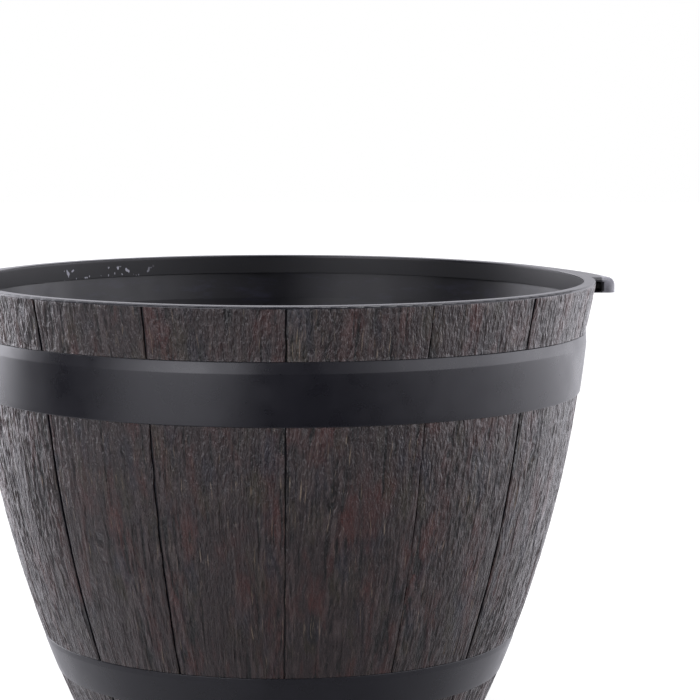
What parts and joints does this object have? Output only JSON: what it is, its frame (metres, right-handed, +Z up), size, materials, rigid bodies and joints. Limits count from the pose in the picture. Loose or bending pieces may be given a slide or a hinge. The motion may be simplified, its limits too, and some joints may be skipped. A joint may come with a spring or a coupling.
{
  "type": "half-barrel flower pot",
  "caption": "Round tapering plant pot shaped like a half barrel, with grooved wood-grain staves, smooth hoops, a capped rim with lugs at both sides, and lift-out drain plugs.",
  "frame": {"origin": "on the ground, at the centre of the round base", "axes": "+Z up along the pot's axis, +X towards the right lug, -Y towards the front, the side that the picture shows"},
  "size_m": [0.4078, 0.3809, 0.27],
  "materials": {
    "sprayed_stave_resin": "matte wood grain, moulded in black resin and sprayed dark brown outside",
    "black_resin": "smooth satin",
    "plug_rubber": "matte moulded rubber"
  },
  "bodies": {
    "pot": {"stave_shell": "sprayed_stave_resin", "rim_ring_with_lugs": "black_resin", "upper_hoop": "black_resin", "lower_hoop": "black_resin"},
    "plug_1": {"drain_plug_1": "plug_rubber"},
    "plug_2": {"drain_plug_2": "plug_rubber"},
    "plug_3": {"drain_plug_3": "plug_rubber"},
    "plug_4": {"drain_plug_4": "plug_rubber"}
  },
  "joints": [
    {"name": "plug_1_lift", "type": "slide", "parent": "pot", "child": "plug_1", "axis": [0, 0, 1], "range_m": [0, 0.025]},
    {"name": "plug_2_lift", "type": "slide", "parent": "pot", "child": "plug_2", "axis": [0, 0, 1], "range_m": [0, 0.025]},
    {"name": "plug_3_lift", "type": "slide", "parent": "pot", "child": "plug_3", "axis": [0, 0, 1], "range_m": [0, 0.025]},
    {"name": "plug_4_lift", "type": "slide", "parent": "pot", "child": "plug_4", "axis": [0, 0, 1], "range_m": [0, 0.025]}
  ]
}
